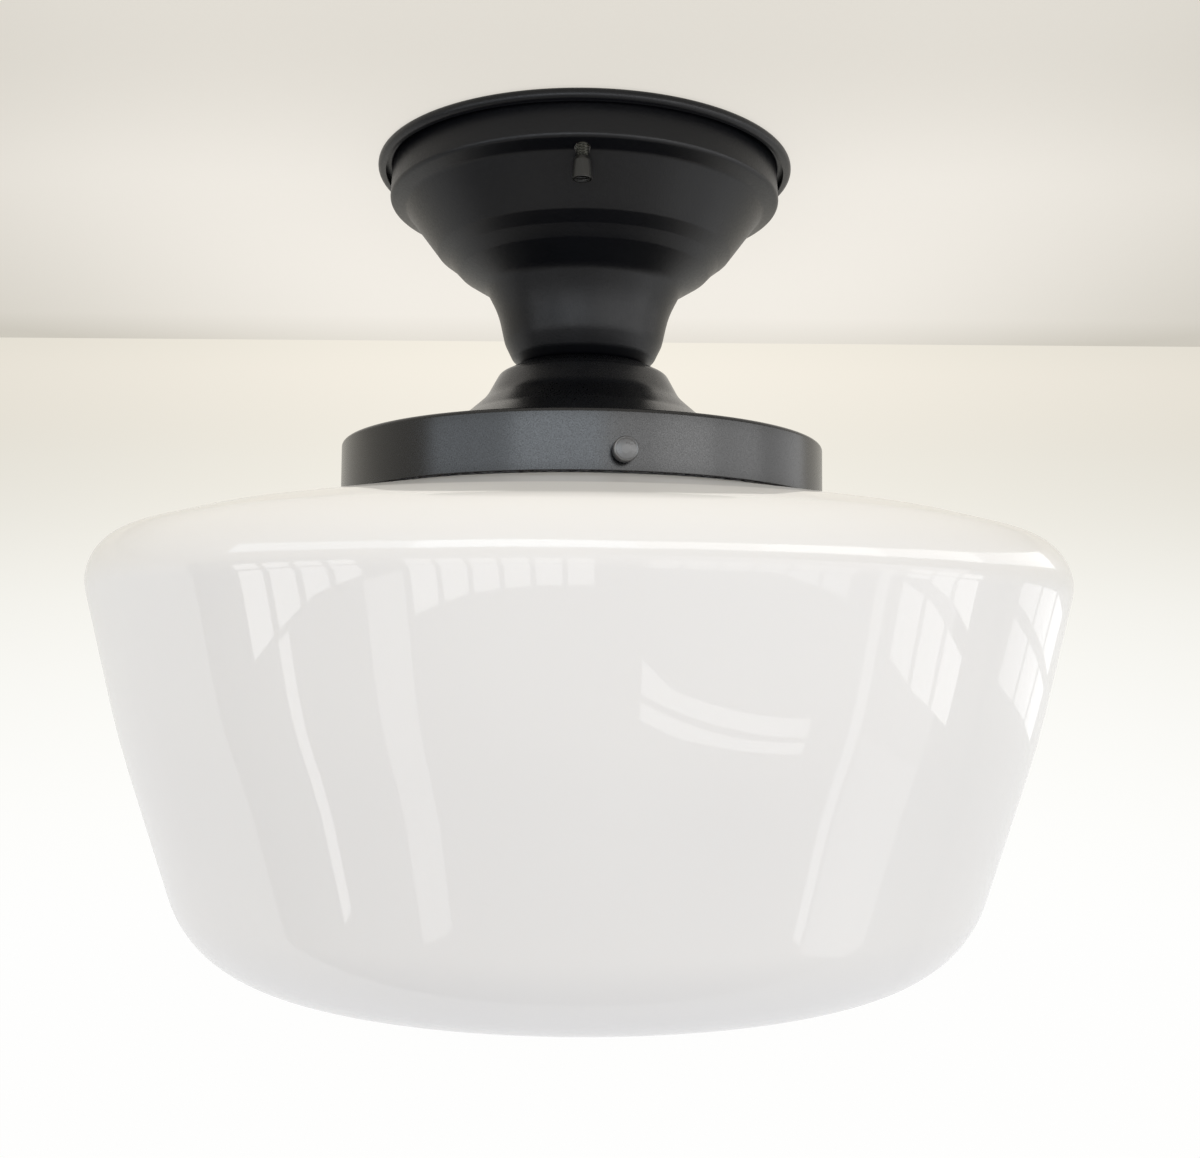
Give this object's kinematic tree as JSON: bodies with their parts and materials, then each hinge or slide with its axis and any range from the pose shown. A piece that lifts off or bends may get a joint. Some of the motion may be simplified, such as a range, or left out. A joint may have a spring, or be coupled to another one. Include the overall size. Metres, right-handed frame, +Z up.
{
  "type": "semi flush ceiling light",
  "caption": "Semi flush ceiling light: satin black stepped bell canopy, flared shade holder with thumb screws, and a closed glossy white opal glass shade around a lampholder.",
  "frame": {"origin": "on the ceiling plane, on the axis of the light, midway between the two ceiling box screws", "axes": "+Z up into the ceiling, the light hangs towards -Z; the ceiling strap and the two barrel nuts lie along Y; the front, with the nearest thumb screw, faces -Y; +X to the right seen from the front"},
  "size_m": [0.3052, 0.3052, 0.27],
  "materials": {
    "satin_black": "satin, fine grained",
    "zinc_steel": "zinc plated",
    "dark_thread": "blackened thread",
    "green_screw": "dyed green",
    "tinned_copper": "tinned",
    "green_insulation": "satin",
    "black_insulation": "satin",
    "white_insulation": "satin",
    "orange_plastic": "moulded",
    "opal_glass": "glossy, cased white",
    "cap_aluminium": "satin",
    "shell_aluminium": "rolled",
    "porcelain": "glazed white",
    "brass": "satin",
    "bulb_solder": "soft solder",
    "bulb_black": "glossy",
    "bulb_aluminium": "rolled",
    "bulb_white": "satin",
    "bulb_frosted": "frosted white"
  },
  "bodies": {
    "fixture": {"canopy": "satin_black", "ceiling_strap": "zinc_steel", "ground_screw": "green_screw", "canopy_studs": "dark_thread", "threaded_tube": "zinc_steel", "tube_top_washer": "zinc_steel", "tube_ring_terminal": "tinned_copper", "tube_top_nut": "zinc_steel", "strap_ring_terminal": "tinned_copper", "ground_lead": "green_insulation", "black_lead": "black_insulation", "white_lead": "white_insulation", "wire_connectors": "orange_plastic", "shade_holder": "satin_black", "holder_washer": "zinc_steel", "holder_nut": "zinc_steel", "screw_bushes": "zinc_steel", "lampholder_cap": "cap_aluminium", "cap_hub": "cap_aluminium", "cap_screws": "zinc_steel", "porcelain_body": "porcelain", "contact_rivet": "brass", "screw_shell": "shell_aluminium", "contact_leaf": "brass"},
    "shade": {"glass_shade": "opal_glass"},
    "thumb_screw_1": {"thumb_screw_1": "satin_black"},
    "thumb_screw_2": {"thumb_screw_2": "satin_black"},
    "thumb_screw_3": {"thumb_screw_3": "satin_black"},
    "barrel_nut_front": {"barrel_nut_front": "satin_black"},
    "barrel_nut_back": {"barrel_nut_back": "satin_black"},
    "bulb": {"bulb_contact": "bulb_solder", "bulb_insulator": "bulb_black", "bulb_cap": "bulb_aluminium", "bulb_collar": "bulb_white", "bulb_globe": "bulb_frosted"}
  },
  "joints": [
    {"name": "shade_release", "type": "slide", "parent": "fixture", "child": "shade", "axis": [0, 0, -1], "range_m": [0, 0.017]},
    {"name": "thumb_screw_1_out", "type": "slide", "parent": "fixture", "child": "thumb_screw_1", "axis": [0.1564, -0.9877, 0], "range_m": [0, 0.004]},
    {"name": "thumb_screw_2_out", "type": "slide", "parent": "fixture", "child": "thumb_screw_2", "axis": [0.7771, 0.6293, 0], "range_m": [0, 0.004]},
    {"name": "thumb_screw_3_out", "type": "slide", "parent": "fixture", "child": "thumb_screw_3", "axis": [-0.9336, 0.3584, 0], "range_m": [0, 0.004]},
    {"name": "barrel_nut_front_off", "type": "slide", "parent": "fixture", "child": "barrel_nut_front", "axis": [0, 0, -1], "range_m": [0, 0.006]},
    {"name": "barrel_nut_back_off", "type": "slide", "parent": "fixture", "child": "barrel_nut_back", "axis": [0, 0, -1], "range_m": [0, 0.006]},
    {"name": "bulb_out", "type": "slide", "parent": "fixture", "child": "bulb", "axis": [0, 0, -1], "range_m": [0, 0.025]}
  ],
  "couplings": [
    {"joint": "thumb_screw_1_out", "follows": "shade_release", "ratio": 0.22},
    {"joint": "thumb_screw_2_out", "follows": "shade_release", "ratio": 0.22},
    {"joint": "thumb_screw_3_out", "follows": "shade_release", "ratio": 0.22}
  ]
}
